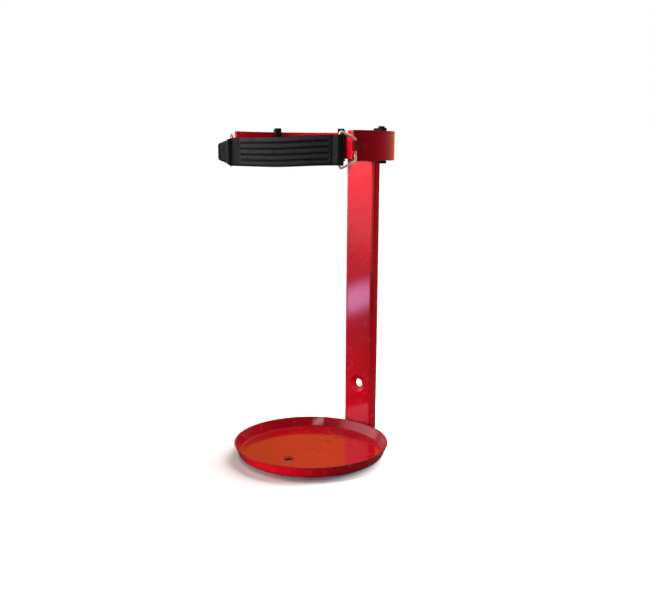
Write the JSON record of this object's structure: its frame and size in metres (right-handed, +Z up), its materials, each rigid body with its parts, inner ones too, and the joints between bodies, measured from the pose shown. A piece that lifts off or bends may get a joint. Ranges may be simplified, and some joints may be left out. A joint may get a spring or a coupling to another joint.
{
  "type": "gas cylinder bracket",
  "caption": "Wall bracket for an upright gas cylinder: round pressed tray on a folded upright, and a C-shaped band closed by a ribbed rubber strap with wire bails.",
  "frame": {"origin": "on the tray's axis, in the plane that the foot stands on", "axes": "+Z up along the tray's and the band's common axis, -Y to the front where the strap is, X = 0 the plane that the metalwork is symmetrical about"},
  "size_m": [0.1995, 0.2037, 0.402],
  "materials": {
    "enamel": "gloss red enamel over pressed sheet steel",
    "strap_rubber": "moulded black rubber, satin, ribbed lengthwise",
    "buffer_rubber": "plain black rubber, matt",
    "wire": "yellow zinc-plated bent wire"
  },
  "bodies": {
    "root": {"tray": "enamel", "upright": "enamel", "band": "enamel", "strap": "strap_rubber", "bail_right": "wire", "buffer_left_side": "buffer_rubber", "buffer_left_rear": "buffer_rubber", "buffer_right_rear": "buffer_rubber", "buffer_right_side": "buffer_rubber"},
    "strap_end": {"bail_left": "wire"}
  },
  "joints": [
    {"name": "strap_release", "type": "slide", "parent": "root", "child": "strap_end", "axis": [-0.503, 0.8643, 0], "range_m": [0, 0.012], "stiffness_N_per_m": 3000, "deforming": ["strap"]}
  ]
}
